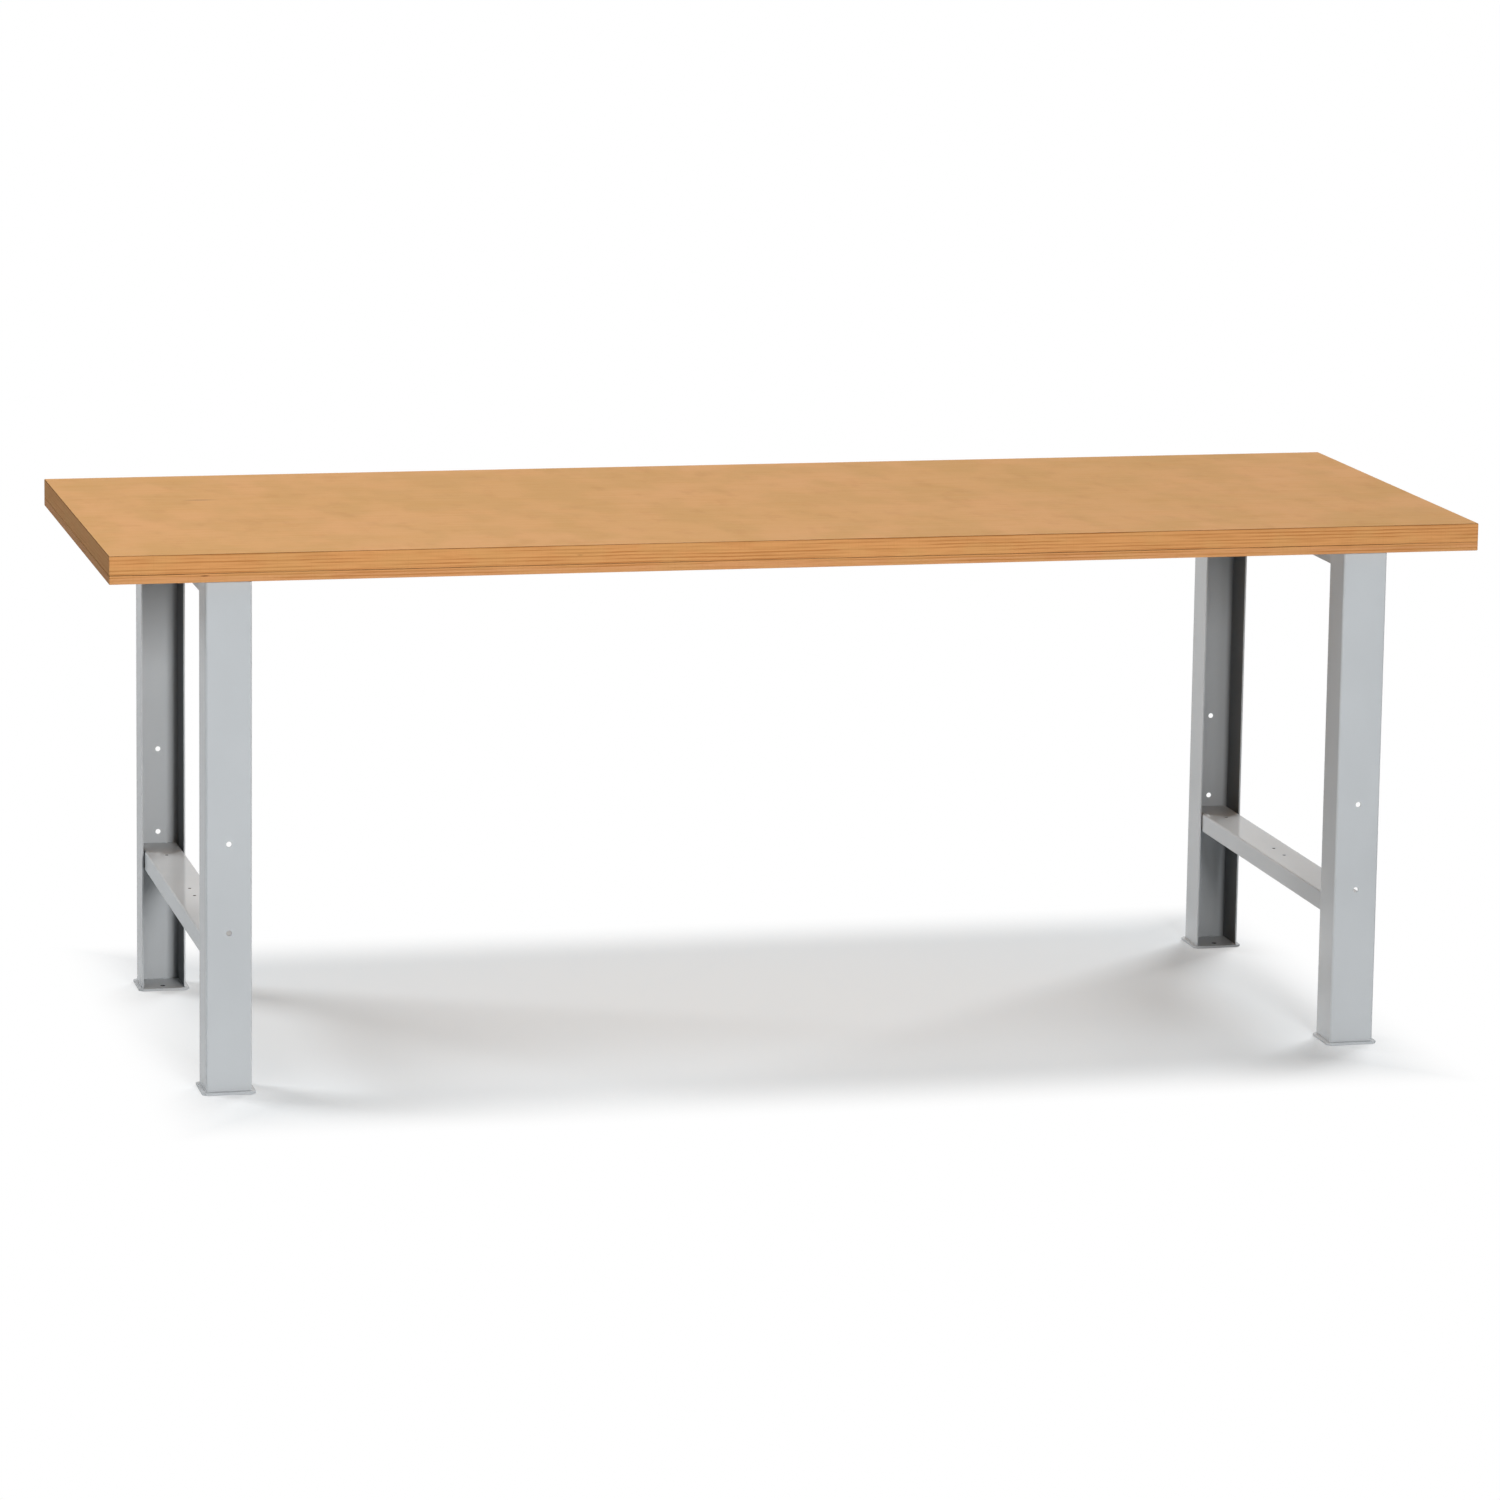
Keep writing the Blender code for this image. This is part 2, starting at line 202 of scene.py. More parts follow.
class StageSettings(bpy.types.PropertyGroup):
    """Floor, light and camera."""

    floor: length("Floor", 30.0, "Half width of the floor")
    floor_colour: colour("Floor", (0.69, 0.725, 0.75), "Colour of the floor")
    shadow_length: length("Shadow length", 0.80, "Half length of the floor with the full shadow")
    shadow_depth: length("Shadow depth", 0.42, "Half depth of the floor with the full shadow")
    shadow_fade: length("Shadow fade", 0.26, "Width of the floor's fade to white round that")
    mirror_floor: share("Mirrored floor", 0.5, "Brightness of the white floor in reflections")
    mirror_sky: share("Mirrored sky", 0.2, "Brightness of the upper sky in reflections")
    sky_low: share("Sky low", 0.30, "Sine of the elevation at which the mirrored sky starts to darken")
    sky_high: share("Sky high", 0.38, "Sine of the elevation at which it has darkened in full")
    ambient: FloatProperty(name="Ambient", description="Light from all round", default=0.12, min=0.0)
    left_light: power("Left light", 33.0, "Power of the light at the upper left, in watts")
    front_light: power("Front light", 460.0, "Power of the light in front, in watts")
    right_rear_light: power("Right rear light", 1400.0, "Power of the light at the right rear, in watts")
    left_rear_light: power("Left rear light", 850.0, "Power of the light at the left rear, in watts")
    lens: FloatProperty(name="Lens", description="Focal length in millimetres", default=147.535, min=1.0)
    lens_shift: FloatProperty(name="Lens shift", description="Upright shift of the lens", default=-0.1)
    camera_place: FloatVectorProperty(name="Camera", description="Place of the camera",
                                      default=(-2.3196, -9.5767, 2.3602), subtype="TRANSLATION",
                                      unit="LENGTH")
    camera_turn: FloatVectorProperty(name="Camera turn", description="Turn of the camera",
                                     default=[math.radians(a) for a in (80.3616, -0.7944, -13.4726)],
                                     subtype="EULER", unit="ROTATION")


# Modelling steps

def deselect_all():
    """Leave no object selected."""
    if bpy.context.mode != "OBJECT":
        bpy.ops.object.mode_set(mode="OBJECT")
    bpy.ops.object.select_all(action="DESELECT")


def make_active(piece):
    """Select one object alone and make it active."""
    deselect_all()
    piece.select_set(True)
    bpy.context.view_layer.objects.active = piece


def name_new(name):
    """Name the primitive that was just added and put its place into its mesh."""
    piece = bpy.context.active_object
    piece.name = name
    piece.data.name = name
    bpy.ops.object.transform_apply(location=True, rotation=True, scale=True)
    return piece


def select_where(piece, kind, test):
    """Select the verts, edges or faces of the mesh in edit mode that pass a test."""
    bpy.ops.mesh.select_mode(type={"verts": "VERT", "edges": "EDGE", "faces": "FACE"}[kind])
    bpy.ops.mesh.select_all(action="DESELECT")
    shape = bmesh.from_edit_mesh(piece.data)
    found = 0
    for item in getattr(shape, kind):
        if test(item):
            item.select_set(True)
            found += 1
    if not found:
        raise RuntimeError(f"nothing to select in {piece.name}")
    shape.select_flush_mode()
    bmesh.update_edit_mesh(piece.data)


def apply_modifier(piece, kind, **settings):
    """Add a modifier to a piece and apply it."""
    make_active(piece)
    bpy.ops.object.modifier_add(type=kind)
    modifier = piece.modifiers[-1]
    for option, value in settings.items():
        setattr(modifier, option, value)
    if "FINISHED" not in bpy.ops.object.modifier_apply(modifier=modifier.name):
        raise RuntimeError(f"{kind} can't be applied to {piece.name}")


def cut_by(piece, cutter, operation="DIFFERENCE"):
    """Combine a piece with a helper shape, and remove the helper."""
    apply_modifier(piece, "BOOLEAN", object=cutter, operation=operation, solver="EXACT")
    helper_mesh = cutter.data
    bpy.data.objects.remove(cutter, do_unlink=True)
    bpy.data.meshes.remove(helper_mesh)


def drill(piece, place, radius, depth, axis="Z", facets=HOLE_FACETS):
    """Drill a round hole through a piece, its middle at a place."""
    turn = {"X": (0.0, math.pi / 2, 0.0), "Y": (math.pi / 2, 0.0, 0.0), "Z": (0.0, 0.0, 0.0)}[axis]
    deselect_all()
    bpy.ops.mesh.primitive_cylinder_add(vertices=facets, radius=radius, depth=depth,
                                        location=place, rotation=turn)
    cut_by(piece, name_new("drill"))


def ease_edges(piece, radius):
    """Round the real edges of a piece and shade it, flat faces flat."""
    apply_modifier(piece, "BEVEL", width=radius, segments=SHEET_EASING_SEGMENTS, limit_method="ANGLE",
                   angle_limit=EDGE_ANGLE, use_clamp_overlap=True)
    shade(piece)


def shade(piece):
    """Shade round faces smooth and keep large flat faces flat."""
    make_active(piece)
    bpy.ops.object.shade_smooth_by_angle(angle=SMOOTH_ANGLE)
    apply_modifier(piece, "WEIGHTED_NORMAL", mode="FACE_AREA", weight=100, keep_sharp=True)


def face_outwards(piece):
    """Turn every face of a closed piece outwards."""
    make_active(piece)
    bpy.ops.object.mode_set(mode="EDIT")
    bpy.ops.mesh.select_all(action="SELECT")
    bpy.ops.mesh.normals_make_consistent(inside=False)
    bpy.ops.object.mode_set(mode="OBJECT")


def fold_channel(name, web_middle, web_size, turn, inward, flange, sheet, bend):
    """Fold a channel from flat sheet: the web, then its two flanges, then the sheet's thickness."""
    deselect_all()
    bpy.ops.mesh.primitive_plane_add(size=1.0, location=web_middle, rotation=turn)
    bpy.context.active_object.scale = (web_size[0], web_size[1], 1.0)
    piece = name_new(name)
    outward = -Vector(inward)
    sides = [web_middle.x - web_size[0] / 2, web_middle.x + web_size[0] / 2]

    def on_side(edge):
        return any(all(abs(vert.co.x - side) < NEAR for vert in edge.verts) for side in sides)

    def on_fold(edge):
        return on_side(edge) and all(abs((vert.co - web_middle).dot(outward)) < NEAR
                                     for vert in edge.verts)

    bpy.ops.object.mode_set(mode="EDIT")
    select_where(piece, "edges", on_side)
    bpy.ops.mesh.extrude_edges_move(TRANSFORM_OT_translate={"value": Vector(inward) * flange})
    select_where(piece, "edges", on_fold)
    bpy.ops.mesh.bevel(offset=bend, offset_type="OFFSET", segments=FOLD_SEGMENTS, profile=0.5,
                       affect="EDGES")
    bpy.ops.mesh.select_all(action="SELECT")
    bpy.ops.mesh.normals_make_consistent(inside=False)
    shape = bmesh.from_edit_mesh(piece.data)
    web = max(shape.faces, key=lambda face: abs(face.normal.dot(outward)) * face.calc_area())
    if web.normal.dot(outward) < 0:
        bpy.ops.mesh.flip_normals()
    bpy.ops.object.mode_set(mode="OBJECT")
    apply_modifier(piece, "SOLIDIFY", thickness=sheet, offset=-1.0, use_even_offset=True,
                   use_quality_normals=True)
    return piece


def dress(piece, node, slot, *materials):
    """Finish a piece that stands for a node: its name, materials and body. The slot is not used."""
    piece.name = node + DRESSED
    piece.data.name = node + DRESSED
    if materials:
        piece.data.materials.clear()
        for material in materials:
            piece.data.materials.append(material)
    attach(piece, BODY)
    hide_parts(node)


def copy_onto(piece, source, target):
    """Copy a piece with its own mesh onto a like node, turned half round for the other end."""
    turned = ("_rear_" in target) != ("_rear_" in source)
    turn = Matrix.Rotation(math.pi if turned else 0.0, 4, "Z")
    twin = piece.copy()
    twin.data = piece.data.copy()
    twin.parent = None
    bpy.context.scene.collection.objects.link(twin)
    place = Matrix.Translation(box_middle(target)) @ turn @ Matrix.Translation(-box_middle(source))
    twin.matrix_world = place
    make_active(twin)
    bpy.ops.object.transform_apply(location=True, rotation=True, scale=True)
    return twin


def copy_to_rest(piece, nodes, slot):
    """Dress the first of like nodes with a piece, and the others with copies of it."""
    source = nodes[0]
    twins = [(copy_onto(piece, source, target), target) for target in nodes[1:]]
    dress(piece, source, slot)
    for twin, target in twins:
        dress(twin, target, slot)


# Material steps

def add_node(tree, kind, inputs=None, **options):
    """Add a shader node, set its options, and set or link its inputs."""
    made = tree.nodes.new("ShaderNode" + kind)
    for option, value in options.items():
        setattr(made, option, value)
    for socket, value in (inputs or {}).items():
        if isinstance(value, bpy.types.NodeSocket):
            tree.links.new(value, made.inputs[socket])
        else:
            made.inputs[socket].default_value = value
    return made


def start_material(name):
    """Return a new material's tree, its shader and the object coordinates."""
    material = bpy.data.materials.new(name)
    material.use_nodes = True
    tree = material.node_tree
    shader = tree.nodes["Principled BSDF"]
    return material, tree, shader, add_node(tree, "TexCoord").outputs["Object"]


def stretched(tree, coords, scale, place=(0.0, 0.0, 0.0)):
    """Return coordinates stretched by a scale for each axis."""
    mapping = add_node(tree, "Mapping", {"Vector": coords, "Scale": scale, "Location": place})
    return mapping.outputs["Vector"]


def noise(tree, coords, scale, detail=2.0, roughness=0.5):
    """Return a noise value on stretched coordinates."""
    made = add_node(tree, "TexNoise", {"Vector": stretched(tree, coords, scale), "Scale": 1.0,
                                       "Detail": detail, "Roughness": roughness})
    return made.outputs["Fac"]


def ramp(tree, value, low, high, out_low=0.0, out_high=1.0):
    """Return a value mapped smoothly from one range to another."""
    made = add_node(tree, "MapRange", {"Value": value, "From Min": low, "From Max": high,
                                       "To Min": out_low, "To Max": out_high},
                    interpolation_type="SMOOTHSTEP")
    return made.outputs["Result"]


def sums(tree, operation, first, second=0.0):
    """Return the result of one sum."""
    return add_node(tree, "Math", {0: first, 1: second}, operation=operation).outputs[0]


def mixed(tree, factor, first, second, blend="MIX"):
    """Return two colours mixed by a factor."""
    made = add_node(tree, "Mix", data_type="RGBA", blend_type=blend, clamp_factor=True)
    for index, value in ((0, factor), (6, first), (7, second)):
        if isinstance(value, bpy.types.NodeSocket):
            tree.links.new(value, made.inputs[index])
        elif index == 0:
            made.inputs[index].default_value = value
        else:
            made.inputs[index].default_value = (*value, 1.0)
    return made.outputs[2]


def tinted(tree, tone, layers):
    """Return a tone with layers over it, each an amount, its greatest share and its colour."""
    for amount, most, paint in layers:
        tone = mixed(tree, sums(tree, "MULTIPLY", amount, most), tone, paint)
    return tone


def shaded(paint, factor):
    """Return a colour made lighter or darker by a factor."""
    return [min(1.0, part * factor) for part in paint]


def bumped(tree, shader, height, distance):
    """Give a shader a bump of a height value."""
    bump = add_node(tree, "Bump", {"Height": height, "Distance": distance, "Strength": 1.0})
    tree.links.new(bump.outputs["Normal"], shader.inputs["Normal"])


def face_veneer(settings):
    """The oiled face veneer: soft clouds, faint fibres along X, short flecks and one dark streak."""
    material, tree, shader, coords = start_material("face_veneer")
    drift = ramp(tree, noise(tree, coords, (2.2, 3.0, 1.0), 2.0), 0.35, 0.65)
    clouds = ramp(tree, noise(tree, coords, (13.0, 7.0, 3.0), 2.0, 0.45), 0.36, 0.68)
    smudges = ramp(tree, noise(tree, coords, (26.0, 15.0, 5.0), 3.0, 0.55), 0.52, 0.76)
    fibres = ramp(tree, noise(tree, coords, (7.0, 210.0, 7.0), 3.0, 0.6), 0.42, 0.68)
    flecks = ramp(tree, noise(tree, coords, (70.0, 900.0, 70.0), 1.0), 0.62, 0.74)
    streak_length = 0.030
    streak_width = 0.009
    streak_shift = (29.4, -15.2, -0.85)
    from_streak = stretched(tree, coords, (1 / streak_length, 1 / streak_width, 1.0), streak_shift)
    apart = add_node(tree, "VectorMath", {0: from_streak}, operation="LENGTH").outputs["Value"]
    ragged = sums(tree, "ADD", apart, noise(tree, coords, (40.0, 160.0, 1.0), 3.0))
    streak = ramp(tree, ragged, 0.7, 1.7, 0.30, 0.0)
    tone = tinted(tree, settings.face_colour, (
        (drift, 0.8, settings.face_rosy),
        (clouds, 0.55, settings.face_olive),
        (smudges, 0.16, settings.ply_dark),
        (fibres, 0.14, settings.face_olive),
        (flecks, 0.20, settings.ply_dark)))
    tone = mixed(tree, streak, tone, settings.glue_colour)
    tree.links.new(tone, shader.inputs["Base Color"])
    tree.links.new(ramp(tree, fibres, 0.0, 1.0, 0.58, 0.70), shader.inputs["Roughness"])
    shader.inputs["Specular IOR Level"].default_value = 0.10
    bumped(tree, shader, sums(tree, "ADD", fibres, flecks), 0.00006)
    return material


def glue_line(tree, coords, below_joint, wander, settings):
    """Return the strength of the dark line between the two boards, stronger and weaker along it."""
    strength = ramp(tree, noise(tree, coords, (3.0, 3.0, 0.0), 3.0, 0.6), 0.35, 0.60, 0.35, 0.90)
    sway = sums(tree, "MULTIPLY", wander, settings.glue_line)
    apart = sums(tree, "ABSOLUTE", sums(tree, "ADD", below_joint, sway))
    line = ramp(tree, apart, 0.5 * settings.glue_line, 1.2 * settings.glue_line, 1.0, 0.0)
    return sums(tree, "MULTIPLY", line, strength)


def ply_edge(settings, name, contrast, tint):
    """A sawn plywood edge: broken light and dark plies, the boards' glue line, saw marks, knots and a
    tint, which on the short edges is painted shade.
    """
    material, tree, shader, coords = start_material(name)
    height = add_node(tree, "SeparateXYZ", {"Vector": coords}).outputs["Z"]
    depth = sums(tree, "SUBTRACT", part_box("worktop_upper_board")[1].z, height)
    below_joint = sums(tree, "SUBTRACT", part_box("worktop_lower_board")[1].z, height)
    wander = sums(tree, "SUBTRACT", noise(tree, coords, (5.0, 5.0, 0.0), 2.0), 0.5)
    sway = sums(tree, "MULTIPLY", wander, 1.1)
    level = sums(tree, "ADD", sums(tree, "DIVIDE", depth, settings.ply), sway)
    wave = sums(tree, "SINE", sums(tree, "MULTIPLY", level, math.pi))
    fade = ramp(tree, noise(tree, coords, (4.5, 4.5, 110.0), 3.0, 0.6), 0.38, 0.58, 0.05, 1.0)
    stripes = sums(tree, "MULTIPLY", ramp(tree, wave, -0.1, 0.8), fade)
    grain = ramp(tree, noise(tree, coords, (16.0, 16.0, 620.0), 3.0, 0.6), 0.42, 0.70)
    saw = noise(tree, coords, (420.0, 420.0, 12.0), 2.0)
    lower = ramp(tree, below_joint, 0.0, 0.004)
    mottle = ramp(tree, noise(tree, coords, (14.0, 14.0, 40.0), 3.0), 0.42, 0.70)
    tone = tinted(tree, settings.ply_light, (
        (lower, 0.7, settings.ply_rosy),
        (stripes, 0.95 * contrast, settings.ply_dark),
        (grain, 0.45 * contrast, settings.ply_dark),
        (mottle, 0.30, settings.face_olive)))
    top_line = ramp(tree, depth, 0.0006, 0.0016, 0.65, 0.0)
    joint_line = glue_line(tree, coords, below_joint, wander, settings)
    tone = mixed(tree, ramp(tree, saw, 0.5, 0.75, 0.0, 0.16), tone, settings.ply_dark)
    tone = mixed(tree, top_line, tone, settings.glue_colour)
    tone = mixed(tree, joint_line, tone, settings.glue_colour)
    spots = add_node(tree, "TexVoronoi", {"Vector": stretched(tree, coords, (19.0, 19.0, 120.0)),
                                          "Scale": 1.0, "Randomness": 1.0})
    draw = add_node(tree, "SeparateColor", {"Color": spots.outputs["Color"]}).outputs[0]
    more_below = sums(tree, "MULTIPLY", lower, 0.12)
    rare = sums(tree, "GREATER_THAN", sums(tree, "ADD", draw, more_below), 0.93)
    knot = sums(tree, "MULTIPLY", ramp(tree, spots.outputs["Distance"], 0.05, 0.18, 0.85, 0.0), rare)
    tone = mixed(tree, knot, tone, settings.glue_colour)
    # Painted shade: on the short edges the tint darkens and cools the wood; the long edges take white and
    # stay as they are
    tone = mixed(tree, 1.0, tone, tint, "MULTIPLY")
    tree.links.new(tone, shader.inputs["Base Color"])
    tree.links.new(ramp(tree, saw, 0.3, 0.7, 0.58, 0.72), shader.inputs["Roughness"])
    shader.inputs["Specular IOR Level"].default_value = 0.0
    bumped(tree, shader, sums(tree, "ADD", saw, stripes), 0.00010)
    return material


def inside_shade_mask(tree, coords, settings):
    """Return the mask of the painted shade: 1 on the inner faces of the posts' flanges, fading to 0 over
    the inside of the web.
    """
    low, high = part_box(POSTS[0])
    half = (high.x - low.x) / 2 - settings.post_sheet
    axes = add_node(tree, "SeparateXYZ", {"Vector": coords}).outputs
    from_frame = sums(tree, "SUBTRACT", sums(tree, "ABSOLUTE", axes["X"]), abs(low.x + high.x) / 2)
    from_flange = sums(tree, "SUBTRACT", half, sums(tree, "ABSOLUTE", from_frame))
    from_web = sums(tree, "SUBTRACT", abs(low.y), sums(tree, "ABSOLUTE", axes["Y"]))
    near_fold = ramp(tree, from_flange, 0.0, settings.painted_shade_fade, 1.0, 0.0)
    within = ramp(tree, from_flange, -0.6 * settings.post_sheet, -0.2 * settings.post_sheet)
    behind = ramp(tree, from_web, 0.4 * settings.post_sheet, 0.8 * settings.post_sheet)
    edge = high.y - low.y - settings.edge
    short = ramp(tree, from_web, edge - settings.post_sheet, edge, 1.0, 0.0)
    inner = sums(tree, "MULTIPLY", sums(tree, "MULTIPLY", within, behind), short)
    return sums(tree, "MULTIPLY", near_fold, inner)


def powder_coat(settings, name, inside=None):
    """The light grey powder coat: a smooth glossy film with slow drifts of tone and small specks, with
    painted shade inside the posts' folds when a mask is given.
    """
    material, tree, shader, coords = start_material(name)
    drift = noise(tree, coords, (5.0, 5.0, 3.0), 3.0)
    specks = ramp(tree, noise(tree, coords, (900.0, 900.0, 900.0), 1.0), 0.64, 0.74)
    unevenness = 0.035
    tone = mixed(tree, ramp(tree, drift, 0.3, 0.7), shaded(settings.coat, 1 + unevenness),
                 shaded(settings.coat, 1 - unevenness))
    tone = tinted(tree, tone, ((specks, 0.10, shaded(settings.coat, 0.5)),))
    # Painted shade: the mask darkens the coat inside the posts' folds, where shade falls, and takes its
    # sheen away there
    if inside:
        shade_amount = inside(tree, coords, settings)
        tone = mixed(tree, shade_amount, tone, shaded(settings.coat, settings.painted_shade_share))
        tree.links.new(ramp(tree, shade_amount, 0.0, 1.0, 0.5, 0.0), shader.inputs["Specular IOR Level"])
    else:
        shader.inputs["Specular IOR Level"].default_value = settings.sheet_sheen
    tree.links.new(tone, shader.inputs["Base Color"])
    rough = settings.coat_roughness
    tree.links.new(ramp(tree, drift, 0.3, 0.7, 0.85 * rough, 1.15 * rough), shader.inputs["Roughness"])
    return material


def bare_steel(settings):
    """Near-black painted shade on the walls of the small holes."""
    material, tree, shader, coords = start_material("bare_steel")
    grain = noise(tree, coords, (1200.0, 1200.0, 1200.0), 2.0)
    tone = mixed(tree, grain, settings.bare, shaded(settings.bare, 0.6))
    tree.links.new(tone, shader.inputs["Base Color"])
    tree.links.new(ramp(tree, grain, 0.3, 0.7, 0.5, 0.7), shader.inputs["Roughness"])
    shader.inputs["Specular IOR Level"].default_value = 0.1
    return material


def zinc_plate(settings):
    """Bright zinc plating with a fine crystalline grain."""
    material, tree, shader, coords = start_material("zinc_plate")
    grain = add_node(tree, "TexVoronoi", {"Vector": stretched(tree, coords, (900.0, 900.0, 900.0)),
                                          "Scale": 1.0}).outputs["Color"]
    level = add_node(tree, "SeparateColor", {"Color": grain}).outputs[0]
    cloud = noise(tree, coords, (120.0, 120.0, 120.0), 3.0)
    tone = tinted(tree, settings.zinc, ((level, 0.35, shaded(settings.zinc, 0.7)),))
    tree.links.new(tone, shader.inputs["Base Color"])
    tree.links.new(ramp(tree, cloud, 0.3, 0.7, 0.24, 0.44), shader.inputs["Roughness"])
    shader.inputs["Metallic"].default_value = 1.0
    bumped(tree, shader, cloud, 0.00002)
    return material


def shared_material(name, make):
    """Return a material by name, made when it is first asked for."""
    return bpy.data.materials.get(name) or make()


def coat_sheet(piece, steel, holes=()):
    """Give a piece the powder coat, and painted shade on the walls of its upright holes, each a place and
    a radius.
    """
    coat = shared_material("sheet_coat", lambda: powder_coat(steel, "sheet_coat"))
    piece.data.materials.append(coat)
    if not holes:
        return
    piece.data.materials.append(shared_material("bare_steel", lambda: bare_steel(steel)))
    margin = 1.5 * steel.edge
    # Faces round each hole take the painted shade
    for face in piece.data.polygons:
        corners = [piece.data.vertices[index].co for index in face.vertices]
        if any(all((corner - Vector(place)).xy.length < radius + margin for corner in corners)
               for place, radius in holes):
            face.material_index = 1


# Operators

class MakeBoards(bpy.types.Operator):
    """Model the two plywood boards of the worktop"""

    bl_idname = "workbench.make_boards"
    bl_label = "Worktop boards"

    def execute(self, context):
        settings = context.scene.workbench_worktop
        # The short edges' finish carries painted shade in its tint
        finishes = (face_veneer(settings),
                    ply_edge(settings, "ply_long_edge", 1.0, WHITE),
                    ply_edge(settings, "ply_short_edge", settings.end_contrast, settings.painted_end_shade))
        tops = {"worktop_upper_board": (settings.glue_groove, settings.arris),
                "worktop_lower_board": (settings.arris, settings.glue_groove)}
        for node, (lower_easing, upper_easing) in tops.items():
            piece = self.saw_board(node, settings, lower_easing, upper_easing)
            self.bore(piece, node, settings)
            dress(piece, node, "plywood", *finishes)
            self.part_finishes(piece)
            shade(piece)
        return {"FINISHED"}

    def saw_board(self, node, settings, lower_easing, upper_easing):
        """Saw one board to size and ease its corners and edges."""
        low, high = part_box(node)
        deselect_all()
        bpy.ops.mesh.primitive_cube_add(size=1.0, location=(low + high) / 2)
        bpy.context.active_object.scale = high - low
        piece = name_new(node + DRESSED)
        bpy.ops.object.mode_set(mode="EDIT")
        select_where(piece, "edges", lambda edge: abs(edge.verts[0].co.z - edge.verts[1].co.z) > NEAR)
        bpy.ops.mesh.bevel(offset=settings.corner, segments=EASING_SEGMENTS, profile=0.5, affect="EDGES")
        for height, easing in ((low.z, lower_easing), (high.z, upper_easing)):
            select_where(piece, "edges",
                         lambda edge: all(abs(vert.co.z - height) < NEAR for vert in edge.verts))
            bpy.ops.mesh.bevel(offset=easing, segments=EASING_SEGMENTS, profile=0.5, affect="EDGES")
        bpy.ops.object.mode_set(mode="OBJECT")
        return piece

    def bore(self, piece, node, settings):
        """Bore a board for the worktop screws."""
        low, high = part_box(node)
        for screw in SCREWS:
            tip = min(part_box(screw)[1].z, high.z + OVERRUN)
            bottom = low.z - OVERRUN
            middle = box_middle(screw)
            place = (middle.x, middle.y, (tip + bottom) / 2)
            drill(piece, place, settings.bore, tip - bottom, facets=BORE_FACETS)

    def part_finishes(self, piece):
        """Give the faces, the long edges and the short edges of a board their own finish."""
        for face in piece.data.polygons:
            if abs(face.normal.z) > ALONG_AXIS:
                face.material_index = 0
            else:
                face.material_index = 1 if abs(face.normal.y) >= abs(face.normal.x) else 2


class MakePosts(bpy.types.Operator):
    """Fold the four posts from sheet and drill their webs"""

    bl_idname = "workbench.make_posts"
    bl_label = "Posts"

    def execute(self, context):
        steel = context.scene.workbench_steel
        # The posts' coat carries painted shade inside their folds
        coat = powder_coat(steel, "post_coat", inside_shade_mask)
        source = POSTS[0]
        low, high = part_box(source)
        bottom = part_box(FOOT_PLATES[0])[1].z + steel.seam
        web_middle = Vector(((low.x + high.x) / 2, low.y, (bottom + high.z) / 2))
        piece = fold_channel(source + DRESSED, web_middle, (high.x - low.x, high.z - bottom),
                             (math.pi / 2, 0.0, 0.0), (0.0, 1.0, 0.0), high.y - low.y,
                             steel.post_sheet, steel.post_bend)
        for height in (steel.lower_hole, steel.upper_hole):
            place = (web_middle.x, low.y + steel.post_sheet / 2, height)
            drill(piece, place, steel.post_hole, steel.post_sheet + 2 * OVERRUN, "Y")
        ease_edges(piece, steel.edge)
        piece.data.materials.append(coat)
        copy_to_rest(piece, POSTS, "powder_coat")
        return {"FINISHED"}


class MakeRails(bpy.types.Operator):
    """Fold the lower and upper rails from sheet, round their corners and drill them"""

    bl_idname = "workbench.make_rails"
    bl_label = "Rails"

    def execute(self, context):
        steel = context.scene.workbench_steel
        for level in ("lower", "upper"):
            nodes = [f"{side}_{level}_rail" for side in SIDES]
            piece = self.fold_rail(nodes[0], steel)
            holes = self.holes(level, nodes[0], context.scene)
            for place, radius in holes:
                drill(piece, place, radius, steel.rail_sheet + 2 * OVERRUN)
            ease_edges(piece, steel.edge)
            coat_sheet(piece, steel, holes)
            copy_to_rest(piece, nodes, "powder_coat")
        return {"FINISHED"}

    def fold_rail(self, node, steel):
        """Fold one rail a little long and trim it by a block with round corners."""
        low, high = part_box(node)
        web_middle = Vector(((low.x + high.x) / 2, (low.y + high.y) / 2, high.z))
        piece = fold_channel(node + DRESSED, web_middle,
                             (high.x - low.x, high.y - low.y + 2 * OVERRUN), (0.0, 0.0, 0.0),
                             (0.0, 0.0, -1.0), high.z - low.z, steel.rail_sheet, steel.rail_bend)
        deselect_all()
        bpy.ops.mesh.primitive_cube_add(size=1.0, location=(low + high) / 2)
        side_room = 0.0002
        bpy.context.active_object.scale = (high.x - low.x + 2 * side_room, high.y - low.y,
                                           high.z - low.z + 2 * OVERRUN)
        block = name_new("rail_trim")
        bpy.ops.object.mode_set(mode="EDIT")
        select_where(block, "edges", lambda edge: abs(edge.verts[0].co.z - edge.verts[1].co.z) > NEAR)
        bpy.ops.mesh.bevel(offset=steel.rail_corner, segments=CORNER_SEGMENTS, profile=0.5,
                           affect="EDGES")
        bpy.ops.object.mode_set(mode="OBJECT")
        cut_by(piece, block, "INTERSECT")
        return piece

    def holes(self, level, node, scene):
        """Return the places and the radii of a rail's holes."""
        steel = scene.workbench_steel
        low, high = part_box(node)
        middle = (low + high) / 2
        if level == "upper":
            radius = scene.workbench_fasteners.hole
            along = [box_middle(name).y for name in SCREWS if name.startswith("left")]
        else:
            radius = steel.rail_hole
            half = steel.rail_hole_pitch / 2
            along = (low.y + steel.rail_end_hole, middle.y - half, middle.y + half,
                     high.y - steel.rail_end_hole)
        return [((middle.x, y, high.z - steel.rail_sheet / 2), radius) for y in along]


